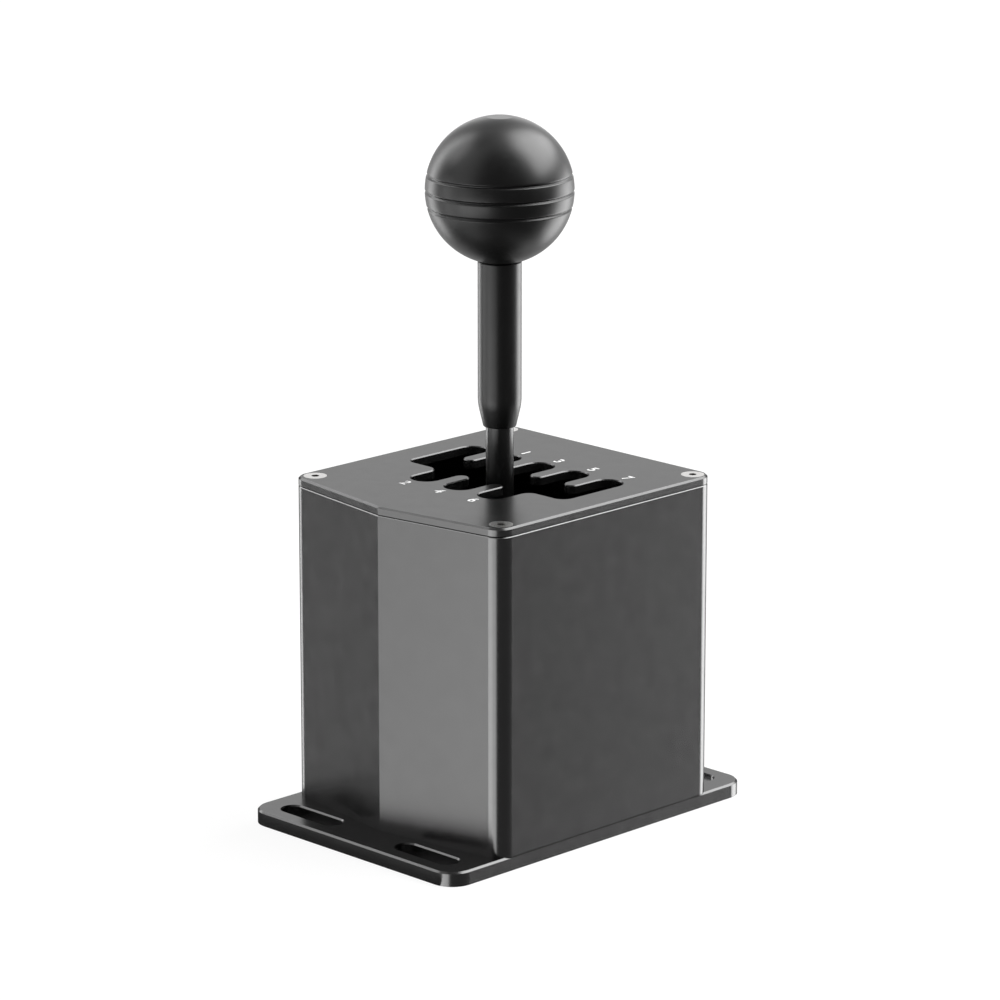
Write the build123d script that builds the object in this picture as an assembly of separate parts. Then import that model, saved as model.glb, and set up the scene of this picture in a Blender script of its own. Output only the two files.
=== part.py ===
from build123d import *
import math
import os

# H-pattern gear shifter for a racing simulator, in millimetres.
# The origin is on the upright lever's axis, at the underside of the mounting flange.
# +X is to the driver's right, +Y points away from the driver and +Z is up.

# Clearances, shared by every fit
thread_gap = 0.05
slide_gap = 0.05
running_gap = 0.03
side_gap = 0.1
cover_gap = 0.2
socket_gap = 0.3
cut_overrun = 1.0

# Housing with its mounting flange
body_width = 100.0
body_far_y = 53.6
body_near_corner_y = -49.4
body_ridge_y = -57.2
body_corner_radius = 6.0
housing_height = 115.3
wall = 4.0
seam_chamfer = 0.3
flange_length = 144.0
flange_thickness = 5.0
flange_corner_radius = 8.0
flange_chamfer = 0.6
slot_length = 27.0
slot_width = 7.8
slot_side_inset = 8.3
slot_end_inset = 9.8
slot_chamfer = 0.5
cover_screw_side_inset = 5.3
cover_screw_end_inset = 5.4
corner_boss_radius = 5.5

# Gate plate
plate_thickness = 3.0
plate_chamfer = 0.6
gate_chamfer = 0.35
column_pitch = 16.2
gate_slot_width = 10.7
gate_slot_reach = 24.2
gate_lane_width = 15.4
gate_corner_radius = 4.0
finger_round_share = 0.98

# Base plate
base_plate_thickness = 4.0
base_plate_recess = 0.4
base_screw_edge = 1.3
base_boss_height = 10.0
spring_pocket_depth = 1.2

# Screws: M4 for the covers and pedestals, M3 for the cam, M2.5 for the boards
m4_radius = 2.0
m3_radius = 1.5
m25_radius = 1.25
countersunk_head_share = 2.0
button_head_share = 1.8
button_height_share = 1.1
hex_key_share = 1.25
hex_depth_share = 0.8
cover_screw_length = 14.0
base_screw_length = 10.0
pedestal_screw_length = 12.0
cam_screw_length = 10.0
sensor_screw_length = 9.0
board_screw_length = 6.0
screw_end_room = 2.0

# Gimbal: the pivot, the shared axle and the ball bearings
pivot_height = 40.0
axle_radius = 4.0
axle_chamfer = 0.5
bearing_outer_radius = 8.0
bearing_width = 5.0
race_width = 1.3
shield_depth = 0.4
ring_thickness = 0.8
ring_outer_radius = 5.6
ring_groove_depth = 0.4
ring_opening = 3.6
ring_land = 1.3
magnet_radius = 2.5
magnet_depth = 2.5

# Pedestals that carry the cradle's two stub axles
pedestal_thickness = 8.0
pedestal_head_radius = 13.0
pedestal_base_width = 38.0
pedestal_base_height = 6.0
pedestal_shoulder_radius = 5.5
pedestal_screw_x = 14.0
pedestal_window_radius = 3.5
pedestal_window_height = 12.0

# Cradle
cradle_length = 50.0
cradle_wall = 5.0
cradle_half_height = 10.0
cradle_corner_radius = 5.0
leg_top_width = 30.0
leg_bottom_width = 22.0
leg_depth = 31.0
leg_corner_radius = 2.5
select_spacer_thickness = 2.8
select_spacer_radius = 6.2
shift_spacer_thickness = 1.3
wing_depth = 11.0
wing_thickness = 4.0
wing_end_radius = 6.0
spring_x = 26.0
spring_peg_radius = 2.7
spring_peg_length = 4.0

# Centring springs
spring_wire = 1.2
spring_outer_radius = 4.5
spring_turns = 6

# Pivot block and what is screwed into it
block_width = 23.0
block_hub_radius = 11.0
block_neck_width = 17.0
block_top = 14.0
block_foot_width = 15.0
block_bottom = 11.0
block_edge_chamfer = 0.6
rod_socket_floor = 5.5
nut_corner_share = 0.125
lock_nut_height = 5.0
lock_nut_flats = 16.0
barrel_nut_height = 3.0
barrel_nut_flats = 13.0

# Detent: the cam's ridges, the notch depth and the sprung plunger
cam_ridge_radius = 25.0
cam_half_length = 10.8
ridge_gap = 0.3
notch_depth = 1.2
nose_radius = 2.5
barrel_radius = 4.5
barrel_bore_radius = 3.4
barrel_lip = 1.5
barrel_reach = 20.5
barrel_root = 5.0
barrel_end_wall = 2.0
plunger_collar_height = 3.0
plunger_collar_room = 0.3
plunger_pin_radius = 1.8
plunger_pin_length = 2.5
detent_wire = 0.8
detent_turns = 4
cam_screw_y = 7.5
cam_screw_drop = 28.0

# Lever above the gate
rod_radius = 4.75
gate_throw = 18.2
sleeve_bottom = 136.0
sleeve_taper_top = 144.0
sleeve_top = 193.0
sleeve_radius = 7.45
sleeve_foot_radius = 5.6
sleeve_edge = 0.35
rod_thread_radius = 4.0
rod_thread_length = 17.0
knob_radius = 25.1
knob_centre = 217.3
knob_groove_width = 1.0
knob_groove_depth = 0.5
knob_groove_pitch = 5.55
knob_groove_middle = -0.75
knob_neck_radius = 7.2
insert_radius = 6.0
insert_length = 20.0
insert_flange_radius = 6.8
insert_flange_thickness = 1.5
insert_groove_depth = 0.8

# Sensor boards
sensor_board_length = 27.0
sensor_board_width = 14.0
board_thickness = 1.6
board_corner_radius = 1.5
sensor_hole_offset = 10.6
sensor_gap = 1.0
sensor_chip_size = 5.0
sensor_chip_thickness = 1.0
spacer_radius = 2.2

# Main board with its two sockets
main_board_near_y = 8.0
main_board_edge_gap = 0.8
main_board_lift = 1.5
main_board_height = 40.0
main_board_hole_inset = 4.0
board_post_radius = 3.0
board_post_length = 8.4
chip_length = 9.0
chip_thickness = 1.2
data_socket_width = 13.2
data_socket_height = 11.6
data_socket_depth = 16.0
data_socket_z = 30.4
data_mouth_width = 9.8
data_mouth_height = 6.8
data_mouth_depth = 11.0
data_latch_width = 6.2
data_latch_height = 1.8
usb_socket_width = 9.0
usb_socket_height = 3.3
usb_socket_depth = 7.4
usb_socket_z = 43.8
usb_shell = 0.35
usb_tongue_thickness = 0.7
usb_tongue_width = 6.7
usb_tongue_inset = 0.8
socket_recess = 0.4

# Places that follow from the sizes above
slot_centre_x = body_width / 2 - slot_side_inset - slot_length / 2
slot_centre_y = flange_length / 2 - slot_end_inset
plate_top = housing_height + plate_thickness
base_top = base_plate_recess + base_plate_thickness
gate_arm = housing_height + plate_thickness / 2 - pivot_height
column_angle = math.degrees(math.atan(column_pitch / gate_arm))
shift_angle = math.degrees(math.atan(gate_throw / gate_arm))
cradle_inner_x = block_width / 2 + shift_spacer_thickness + 2 * side_gap
cradle_outer_x = cradle_inner_x + bearing_width
cradle_inner_y = cradle_length / 2 - cradle_wall
pedestal_inner_y = cradle_length / 2 + select_spacer_thickness + 2 * side_gap
pedestal_outer_y = pedestal_inner_y + pedestal_thickness
axle_tail = side_gap + ring_thickness + ring_land
sensor_spacer_length = axle_tail + sensor_gap + sensor_chip_thickness
wing_bottom = pivot_height - wing_depth - wing_thickness / 2
spring_bottom = base_top - spring_pocket_depth
notch_centre = cam_ridge_radius - ridge_gap - nose_radius + notch_depth
notch_radius = nose_radius + ridge_gap
nose_centre = pivot_height - (notch_centre - notch_depth)
collar_bottom = pivot_height - barrel_reach + barrel_lip + notch_depth + plunger_collar_room
barrel_bore_top = pivot_height - barrel_root - barrel_end_wall
main_board_x = wall + board_post_length - body_width / 2
main_board_bottom = base_top + base_boss_height + main_board_lift
cover_screw_places = [
    (side * (body_width / 2 - cover_screw_side_inset), y)
    for side in (-1, 1)
    for y in (body_near_corner_y + cover_screw_end_inset, body_far_y - cover_screw_end_inset)
]
base_screw_inset = wall + cover_gap + m4_radius * countersunk_head_share + base_screw_edge
base_screw_places = [
    (side * (body_width / 2 - base_screw_inset), y)
    for side in (-1, 1)
    for y in (body_near_corner_y + base_screw_inset, body_far_y - base_screw_inset)
]
cradle_axis = Plane(origin=(0, 0, pivot_height), x_dir=(1, 0, 0), z_dir=(0, 1, 0))
shift_axis = Plane(origin=(0, 0, pivot_height), x_dir=(0, 1, 0), z_dir=(1, 0, 0))
UP = (Align.CENTER, Align.CENTER, Align.MIN)
DOWN = (Align.CENTER, Align.CENTER, Align.MAX)
FRONT = (Align.CENTER, Align.MAX, Align.CENTER)
INWARD = (Align.MIN, Align.CENTER, Align.CENTER)


def group(shapes):
    """Separate pieces that share one name."""
    return Compound([solid for shape in shapes for solid in shape.solids()])


def body_outline(inset=0.0):
    """Plan of the housing: flat sides and back, and a near face that folds on a shallow ridge."""
    half = body_width / 2
    corners = [(-half, body_near_corner_y), (0, body_ridge_y), (half, body_near_corner_y)]
    corners += [(half, body_far_y), (-half, body_far_y)]
    face = make_face(Polyline(*corners, close=True))
    if inset:
        face = offset(face, amount=-inset, kind=Kind.INTERSECTION)
    rounded = [v for v in face.vertices() if abs(v.X) > half / 2]
    return fillet(rounded, body_corner_radius - inset)


def countersunk_screw(radius, length):
    """Countersunk screw with a hexagon socket, its head flush with z = 0 and pointing down."""
    head = radius * countersunk_head_share
    outline = [(0, 0), (head, 0), (radius, radius - head), (radius, -length), (0, -length)]
    screw = revolve(Plane.XZ * make_face(Polyline(*outline, close=True)), Axis.Z)
    return screw - hex_socket(radius)


def button_screw(radius, length):
    """Low round-headed screw with a hexagon socket, its head standing on z = 0."""
    head = radius * button_head_share
    height = radius * button_height_share
    outline = [(0, height), (head / 2, height), (head, height / 2), (head, 0)]
    outline += [(radius, 0), (radius, -length), (0, -length)]
    screw = revolve(Plane.XZ * make_face(Polyline(*outline, close=True)), Axis.Z)
    return screw - Pos(0, 0, height) * hex_socket(radius)


def hex_socket(radius):
    """Hexagonal pocket for the key, cut down from z = 0."""
    return extrude(
        RegularPolygon(radius * hex_key_share / 2, 6, major_radius=False),
        -radius * hex_depth_share,
    )


def countersink(radius, depth):
    """Cut for a countersunk screw that is flush with z = 0 in a plate of this thickness."""
    hole = radius + thread_gap
    head = radius * countersunk_head_share + thread_gap
    outline = [(0, 0), (head, 0), (hole, hole - head), (hole, -depth), (0, -depth)]
    return revolve(Plane.XZ * make_face(Polyline(*outline, close=True)), Axis.Z)


def hexagon_nut(flats, height, bore_radius):
    """Plain lock nut on z = 0, with its corners turned off."""
    blank = extrude(RegularPolygon(flats / 2, 6, major_radius=False), height)
    turned = chamfer(Cylinder(flats / math.sqrt(3), height, align=UP).edges(), height * nut_corner_share)
    return (blank & turned) - Cylinder(bore_radius, height, align=UP)


def housing():
    """Housing and flange in one piece, open at both ends, with a screw boss in each corner."""
    flange = extrude(RectangleRounded(body_width, flange_length, flange_corner_radius), flange_thickness)
    for x in (-slot_centre_x, slot_centre_x):
        for y in (-slot_centre_y, slot_centre_y):
            flange -= Pos(x, y, 0) * extrude(SlotOverall(slot_length, slot_width), flange_thickness)
    top = flange.faces().sort_by(Axis.Z)[-1]
    flange = chamfer(top.outer_wire().edges(), flange_chamfer)
    top = flange.faces().sort_by(Axis.Z)[-1]
    flange = chamfer([e for wire in top.inner_wires() for e in wire.edges()], slot_chamfer)
    body = extrude(body_outline(), housing_height)
    body = chamfer(body.faces().sort_by(Axis.Z)[-1].edges(), seam_chamfer)
    shell = body + flange - housing_cavity() + board_posts() - socket_windows()
    for x, y in cover_screw_places:
        shell -= Pos(x, y, housing_height) * screw_hole(m4_radius, cover_screw_length - plate_thickness)
    for x, y in base_screw_places:
        depth = base_screw_length - base_plate_thickness
        shell -= Pos(x, y, base_top) * Rot(180, 0, 0) * screw_hole(m4_radius, depth)
    for y, z in board_hole_places():
        shell -= on_left_wall(y, z) * screw_hole(m25_radius, board_screw_length - board_thickness)
    return shell


def housing_cavity():
    """Space inside the walls, less the corner bosses, which stop above the base plate."""
    cavity = extrude(body_outline(wall), housing_height)
    boss_height = housing_height - base_top
    for x, y in cover_screw_places:
        cavity -= Pos(x, y, base_top) * Cylinder(corner_boss_radius, boss_height, align=UP)
    for x, y in base_screw_places:
        cavity -= Pos(x, y, base_top) * Cylinder(corner_boss_radius, base_boss_height, align=UP)
    return cavity


def screw_hole(radius, length):
    """Tapped hole that runs down from z = 0 to a little past the end of its screw."""
    return Cylinder(radius + thread_gap, length + screw_end_room, align=DOWN)


def board_hole_places():
    """Heights and depths of the main board's four screws."""
    far_y = body_far_y - wall - main_board_edge_gap - main_board_hole_inset
    low = main_board_bottom + main_board_hole_inset
    high = main_board_bottom + main_board_height - main_board_hole_inset
    return [(y, z) for y in (main_board_near_y + main_board_hole_inset, far_y) for z in (low, high)]


def on_left_wall(y, z):
    """Plane across a screw of the main board, facing into the housing."""
    return Plane(origin=(main_board_x, y, z), z_dir=(1, 0, 0))


def board_posts():
    """Posts on the left wall that carry the main board."""
    length = board_post_length + wall / 2
    posts = Part()
    for y, z in board_hole_places():
        posts += on_left_wall(y, z) * Cylinder(board_post_radius, length, align=DOWN)
    return posts


def socket_windows():
    """Cut-outs in the far wall for the two sockets on the main board."""
    depth = wall + 2 * cut_overrun
    mid_y = body_far_y - wall / 2
    data_x = main_board_x + board_thickness + data_socket_height / 2
    usb_x = main_board_x + board_thickness + usb_socket_height / 2
    data = Box(data_socket_height + 2 * socket_gap, depth, data_socket_width + 2 * socket_gap)
    usb = extrude(
        SlotOverall(usb_socket_width + 2 * socket_gap, usb_socket_height + 2 * socket_gap, rotation=90),
        depth / 2,
        both=True,
    )
    return Pos(data_x, mid_y, data_socket_z) * data + Pos(usb_x, mid_y, usb_socket_z) * Rot(90, 0, 0) * usb


def gate_outline():
    """The H gate: a neutral lane, three full columns and a far-only slot at each end."""
    half_width = gate_slot_width / 2
    lane = Rectangle(4 * column_pitch + gate_slot_width, gate_lane_width)
    gate = lane
    for column in (-1, 0, 1):
        gate += Pos(column * column_pitch, 0) * SlotOverall(
            2 * gate_slot_reach, gate_slot_width, rotation=90
        )
    for column in (-2, 2):
        straight = gate_slot_reach - half_width
        gate += Pos(column * column_pitch, straight / 2) * Rectangle(gate_slot_width, straight)
        gate += Pos(column * column_pitch, straight) * Circle(half_width)
    finger = (column_pitch - gate_slot_width) / 2
    edge = gate_lane_width / 2
    tips = [v for v in gate.vertices() if near(v.Y, edge) and abs(v.X) < 2 * column_pitch]
    tips += [v for v in gate.vertices() if near(v.Y, -edge) and abs(v.X) < column_pitch]
    gate = fillet(tips, finger * finger_round_share)
    outer = [v for v in gate.vertices() if near(v.Y, -edge) and abs(v.X) > column_pitch]
    return fillet(outer, gate_corner_radius)


def near(a, b):
    """True for two coordinates that are the same but for rounding."""
    return math.isclose(a, b, rel_tol=1e-6)


def gate_plate():
    """Top cover, cut with the gate and countersunk at its corners."""
    plate = Pos(0, 0, housing_height) * extrude(body_outline(), plate_thickness)
    plate = chamfer(plate.faces().sort_by(Axis.Z)[-1].edges(), plate_chamfer)
    plate = chamfer(plate.faces().sort_by(Axis.Z)[0].edges(), seam_chamfer)
    plate -= Pos(0, 0, housing_height) * extrude(gate_outline(), plate_thickness)
    rim = plate.faces().sort_by(Axis.Z)[-1].inner_wires()[0]
    plate = chamfer(rim.edges(), gate_chamfer)
    for x, y in cover_screw_places:
        plate -= Pos(x, y, plate_top) * countersink(m4_radius, plate_thickness)
    return plate


def cover_screws():
    """Four countersunk screws through the gate plate."""
    screw = countersunk_screw(m4_radius, cover_screw_length)
    return group(Pos(x, y, plate_top) * screw for x, y in cover_screw_places)


def pedestal_screw_places():
    """Plan of the four screws that hold the pedestals to the base plate."""
    mid_y = (pedestal_inner_y + pedestal_outer_y) / 2
    return [(x, y) for x in (-pedestal_screw_x, pedestal_screw_x) for y in (-mid_y, mid_y)]


def base_plate():
    """Plate that closes the housing from below and carries the mechanism."""
    plate = Pos(0, 0, base_plate_recess) * extrude(body_outline(wall + cover_gap), base_plate_thickness)
    for x, y in base_screw_places + pedestal_screw_places():
        cut = countersink(m4_radius, base_plate_thickness)
        plate -= Pos(x, y, base_plate_recess) * Rot(180, 0, 0) * cut
    for x in (-spring_x, spring_x):
        pocket = Cylinder(spring_outer_radius + cover_gap, spring_pocket_depth, align=DOWN)
        plate -= Pos(x, 0, base_top) * pocket
    return plate


def base_screws():
    """Four countersunk screws that hold the base plate up into the corner bosses."""
    screw = Rot(180, 0, 0) * countersunk_screw(m4_radius, base_screw_length)
    return group(Pos(x, y, base_plate_recess) * screw for x, y in base_screw_places)


def pedestal_screws():
    """Four countersunk screws through the base plate into the pedestals."""
    screw = Rot(180, 0, 0) * countersunk_screw(m4_radius, pedestal_screw_length)
    return group(Pos(x, y, base_plate_recess) * screw for x, y in pedestal_screw_places())


def pedestal(far):
    """Bearing pedestal: a round head on a tapered upright with a window and a screwed foot."""
    foot = Pos(0, base_top + pedestal_base_height / 2) * Rectangle(pedestal_base_width, pedestal_base_height)
    head = Pos(0, pivot_height) * Circle(pedestal_head_radius)
    face = make_hull(foot.edges() + head.edges())
    window_z = base_top + pedestal_base_height + pedestal_window_height / 2
    face -= Pos(0, window_z) * SlotOverall(
        pedestal_head_radius + 2 * pedestal_window_radius, 2 * pedestal_window_radius
    )
    upright = extrude(Plane.XZ * face, -pedestal_thickness)
    bore = Cylinder(bearing_outer_radius, bearing_width, align=DOWN)
    shoulder = Cylinder(pedestal_shoulder_radius, pedestal_thickness, align=DOWN)
    upright -= Pos(0, pedestal_thickness, 0) * (cradle_axis * (bore + shoulder))
    for x in (-sensor_hole_offset, sensor_hole_offset):
        tapped = Cylinder(m25_radius + thread_gap, pedestal_thickness / 2, align=DOWN)
        upright -= Pos(x, pedestal_thickness, 0) * (cradle_axis * tapped)
    for x in (-pedestal_screw_x, pedestal_screw_x):
        depth = pedestal_screw_length - base_plate_thickness + screw_end_room
        hole = Cylinder(m4_radius + thread_gap, depth, align=UP)
        upright -= Pos(x, pedestal_thickness / 2, base_top) * hole
    placed = Pos(0, pedestal_inner_y, 0) * upright
    return placed if far else Rot(0, 0, 180) * placed


def ball_bearing():
    """Shielded ball bearing standing on z = 0, with a dished shield between its races."""
    inner = axle_radius + running_gap
    blank = Cylinder(bearing_outer_radius, bearing_width, align=UP)
    bearing = blank - Cylinder(inner, bearing_width, align=UP)
    shield = Cylinder(bearing_outer_radius - race_width, shield_depth, align=UP)
    shield -= Cylinder(inner + race_width, shield_depth, align=UP)
    return bearing - shield - Pos(0, 0, bearing_width - shield_depth) * shield


def select_bearings():
    """One bearing in each pedestal."""
    bearing = Pos(0, pedestal_outer_y - bearing_width, 0) * (cradle_axis * ball_bearing())
    return group([bearing, Rot(0, 0, 180) * bearing])


def shift_bearings():
    """One bearing in each side wall of the cradle."""
    bearing = Pos(cradle_inner_x, 0, 0) * (shift_axis * ball_bearing())
    return group([bearing, Rot(0, 0, 180) * bearing])


def stub_axle(length, groove):
    """Axle end along +Z from z = 0: a ring groove at the given height and a pocket for a magnet."""
    axle = Cylinder(axle_radius, length, align=UP)
    axle = chamfer(axle.edges().sort_by(Axis.Z)[-1], axle_chamfer)
    band = Cylinder(axle_radius, ring_thickness, align=UP)
    band -= Cylinder(axle_radius - ring_groove_depth, ring_thickness, align=UP)
    axle -= Pos(0, 0, groove) * band
    return axle - Pos(0, 0, length) * Cylinder(magnet_radius, magnet_depth, align=DOWN)


def retaining_ring():
    """Snap ring standing on z = 0: it closes on the groove and opens on one side."""
    ring = Circle(ring_outer_radius) - Circle(axle_radius - ring_groove_depth)
    ring -= Pos(ring_outer_radius, 0) * Rectangle(2 * ring_outer_radius, ring_opening)
    return extrude(ring, ring_thickness)


def spacer_washer(outer_radius, thickness):
    """Thrust washer on an axle, standing on z = 0."""
    washer = Cylinder(outer_radius, thickness, align=UP)
    return washer - Cylinder(axle_radius + thread_gap, thickness, align=UP)


def select_axle(far):
    """Stub axle pressed through the cradle's end wall and out past its bearing."""
    length = pedestal_outer_y + axle_tail - cradle_inner_y
    groove = pedestal_outer_y + side_gap - cradle_inner_y
    axle = Pos(0, cradle_inner_y, 0) * (cradle_axis * stub_axle(length, groove))
    return axle if far else Rot(0, 0, 180) * axle


def select_rings():
    """Snap rings that keep the cradle between its pedestals."""
    ring = Pos(0, pedestal_outer_y + side_gap, 0) * (cradle_axis * retaining_ring())
    return group([ring, Rot(0, 0, 180) * ring])


def select_spacers():
    """Thrust washers between the cradle and its pedestals."""
    washer = spacer_washer(select_spacer_radius, select_spacer_thickness)
    placed = Pos(0, cradle_length / 2 + side_gap, 0) * (cradle_axis * washer)
    return group([placed, Rot(0, 0, 180) * placed])


def select_magnet():
    """Sensor magnet in the far stub axle."""
    magnet = Cylinder(magnet_radius, magnet_depth, align=DOWN)
    return Pos(0, pedestal_outer_y + axle_tail, 0) * (cradle_axis * magnet)


def cradle():
    """Gimbal cradle: a box ring round the pivot, two legs for the cam and two spring wings."""
    ring = Rectangle(cradle_length, 2 * cradle_half_height)
    ring = fillet(ring.vertices(), cradle_corner_radius)
    leg = Polygon(
        (-leg_bottom_width / 2, -leg_depth),
        (leg_bottom_width / 2, -leg_depth),
        (leg_top_width / 2, 0),
        (-leg_top_width / 2, 0),
        align=None,
    )
    leg = fillet(leg.vertices().sort_by(Axis.Y)[:2], leg_corner_radius)
    side = extrude(shift_axis * (ring + leg), bearing_width)
    side = Pos(cradle_inner_x, 0, 0) * side
    side += spring_wing()
    end = extrude(cradle_axis * Rectangle(2 * cradle_outer_x, 2 * cradle_half_height), cradle_wall)
    end = Pos(0, cradle_inner_y, 0) * end
    end &= extrude(shift_axis * ring, cradle_outer_x, both=True)
    frame = side + Rot(0, 0, 180) * side + end + Rot(0, 0, 180) * end
    frame -= extrude(cradle_axis * Circle(axle_radius), cradle_length, both=True)
    frame -= extrude(shift_axis * Circle(bearing_outer_radius), cradle_length, both=True)
    for y in (-cam_screw_y, cam_screw_y):
        hole = extrude(Circle(m3_radius + thread_gap), cradle_length, both=True)
        frame -= Pos(0, y, -cam_screw_drop) * (shift_axis * hole)
    for y in (-sensor_hole_offset, sensor_hole_offset):
        tapped = Cylinder(m25_radius + thread_gap, bearing_width, align=DOWN)
        frame -= Pos(cradle_outer_x, y, 0) * (shift_axis * tapped)
    return frame


def spring_wing():
    """Tab on the cradle's side with a round end and a peg that locates a centring spring."""
    reach = spring_x - cradle_inner_x
    tab = Pos(cradle_inner_x + reach / 2, 0) * Rectangle(reach, 2 * wing_end_radius)
    tab += Pos(spring_x, 0) * Circle(wing_end_radius)
    wing = Pos(0, 0, wing_bottom) * extrude(tab, wing_thickness)
    peg = Pos(spring_x, 0, wing_bottom) * Cylinder(spring_peg_radius, spring_peg_length, align=DOWN)
    return wing + peg


def coil_spring(outer_radius, wire, turns, bottom, top):
    """Wire wound in half-turn arcs between two heights, with its ends ground flat.

    The arcs meet in line, half a turn apart, and each climbs half a pitch. The wire has six flats
    in place of its round, which keeps its faces few.
    """
    mean = outer_radius - wire / 2
    rise = (top - bottom) / turns / 2
    arcs = []
    for half in range(-1, 2 * turns + 1):
        side = mean if half % 2 == 0 else -mean
        z = bottom + half * rise
        arcs.append(ThreePointArc((side, 0, z), (0, side, z + rise / 2), (-side, 0, z + rise)))
    path = Wire([edge for arc in arcs for edge in arc.edges()])
    start = Plane(origin=path @ 0, z_dir=path % 0)
    coil = sweep(start * RegularPolygon(wire / 2, 6), path)
    room = Cylinder(outer_radius + wire, top - bottom, align=UP)
    return coil & Pos(0, 0, bottom) * room


def centring_springs():
    """Two compression springs that push the cradle back to its middle column."""
    coil = coil_spring(spring_outer_radius, spring_wire, spring_turns, spring_bottom, wing_bottom)
    return group([Pos(spring_x, 0, 0) * coil, Pos(-spring_x, 0, 0) * coil])


def detent_cam():
    """Hardened bar with a hollow track round the pivot and three notches in it."""
    bar = Pos(0, -leg_depth / 2) * Rectangle(2 * cam_half_length, leg_depth)
    bar -= Circle(cam_ridge_radius)
    for angle in (-shift_angle, 0, shift_angle):
        bar -= Rot(0, 0, angle) * Pos(0, -notch_centre) * Circle(notch_radius)
    cam = extrude(shift_axis * bar, cradle_inner_x, both=True)
    for y in (-cam_screw_y, cam_screw_y):
        hole = extrude(Circle(m3_radius + thread_gap), cradle_outer_x, both=True)
        cam -= Pos(0, y, -cam_screw_drop) * (shift_axis * hole)
    return cam


def cam_screws():
    """Four round-headed screws that hold the cam between the cradle's legs."""
    screw = button_screw(m3_radius, cam_screw_length)
    placed = [
        Pos(cradle_outer_x, y, -cam_screw_drop) * (shift_axis * screw)
        for y in (-cam_screw_y, cam_screw_y)
    ]
    return group(placed + [Rot(0, 0, 180) * shape for shape in placed])


def pivot_block():
    """Lever hub: a round boss on the shift axle with a socket for the rod and one for the detent."""
    neck = Pos(0, block_top / 2) * Rectangle(block_neck_width, block_top)
    foot = Pos(0, -block_bottom / 2) * Rectangle(block_foot_width, block_bottom)
    block = extrude(shift_axis * (Circle(block_hub_radius) + neck + foot), block_width / 2, both=True)
    ends = block.faces().sort_by(Axis.X)
    block = chamfer(ends[0].edges() + ends[-1].edges(), block_edge_chamfer)
    block -= extrude(shift_axis * Circle(axle_radius), block_width, both=True)
    rod_depth = block_top - rod_socket_floor
    block -= Pos(0, 0, pivot_height + block_top) * Cylinder(rod_radius + thread_gap, rod_depth, align=DOWN)
    barrel_depth = block_bottom - barrel_root
    barrel_hole = Cylinder(barrel_radius + thread_gap, barrel_depth, align=UP)
    return block - Pos(0, 0, pivot_height - block_bottom) * barrel_hole


def shift_axle():
    """Axle through the pivot block, with a ring groove at each end and a magnet pocket on the right."""
    half = stub_axle(cradle_outer_x + axle_tail, cradle_outer_x + side_gap)
    right = shift_axis * half
    return right + Rot(0, 0, 180) * right


def shift_rings():
    """Snap rings on the shift axle, outside the cradle."""
    ring = Pos(cradle_outer_x + side_gap, 0, 0) * (shift_axis * retaining_ring())
    return group([ring, Rot(0, 0, 180) * ring])


def shift_spacers():
    """Thrust washers between the pivot block and the cradle."""
    washer = spacer_washer(select_spacer_radius, shift_spacer_thickness)
    placed = Pos(block_width / 2 + side_gap, 0, 0) * (shift_axis * washer)
    return group([placed, Rot(0, 0, 180) * placed])


def shift_magnet():
    """Sensor magnet in the right end of the shift axle."""
    magnet = Cylinder(magnet_radius, magnet_depth, align=DOWN)
    return Pos(cradle_outer_x + axle_tail, 0, 0) * (shift_axis * magnet)


def shift_rod():
    """Turned rod from the pivot block to the knob, stepped down to a thread at its top."""
    bottom = pivot_height + rod_socket_floor
    rod = Pos(0, 0, bottom) * Cylinder(rod_radius, sleeve_top - bottom, align=UP)
    thread = Cylinder(rod_thread_radius, rod_thread_length, align=UP)
    thread = chamfer(thread.edges().sort_by(Axis.Z)[-1], axle_chamfer)
    return rod + Pos(0, 0, sleeve_top) * thread


def rod_lock_nut():
    """Nut that locks the rod in the pivot block."""
    nut = hexagon_nut(lock_nut_flats, lock_nut_height, rod_radius + thread_gap)
    return Pos(0, 0, pivot_height + block_top) * nut


def lever_sleeve():
    """Turned sleeve over the upper rod, with a tapered foot and softened edges."""
    bore = rod_radius + slide_gap
    outline = [
        (bore, sleeve_bottom),
        (sleeve_foot_radius - sleeve_edge, sleeve_bottom),
        (sleeve_foot_radius, sleeve_bottom + sleeve_edge),
        (sleeve_radius, sleeve_taper_top),
        (sleeve_radius, sleeve_top - sleeve_edge),
        (sleeve_radius - sleeve_edge, sleeve_top),
        (bore, sleeve_top),
    ]
    return revolve(Plane.XZ * make_face(Polyline(*outline, close=True)), Axis.Z)


def knob():
    """Ball knob with three turned grooves and a short neck that meets the sleeve."""
    ball = Pos(0, 0, knob_centre) * Sphere(knob_radius)
    below = Pos(0, 0, sleeve_top) * Box(body_width, body_width, knob_radius, align=DOWN)
    neck_height = knob_radius - math.sqrt(knob_radius**2 - knob_neck_radius**2)
    neck = Pos(0, 0, sleeve_top) * Cylinder(knob_neck_radius, neck_height, align=UP)
    ball = ball - below + neck
    for step in (-1, 0, 1):
        height = knob_groove_middle + step * knob_groove_pitch
        radius = math.sqrt(knob_radius**2 - height**2)
        groove = Circle(knob_groove_width / 2)
        ring = revolve(Plane.XZ * Pos(radius + knob_groove_width / 2 - knob_groove_depth, height) * groove, Axis.Z)
        ball -= Pos(0, 0, knob_centre) * ring
    return ball - insert_shape(thread_gap)


def insert_shape(gap):
    """Outer form of the threaded insert, grown by a gap where it is the pocket in the knob."""
    flange = Cylinder(insert_flange_radius + gap, insert_flange_thickness, align=UP)
    return Pos(0, 0, sleeve_top) * (flange + Cylinder(insert_radius + gap, insert_length + gap, align=UP))


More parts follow.
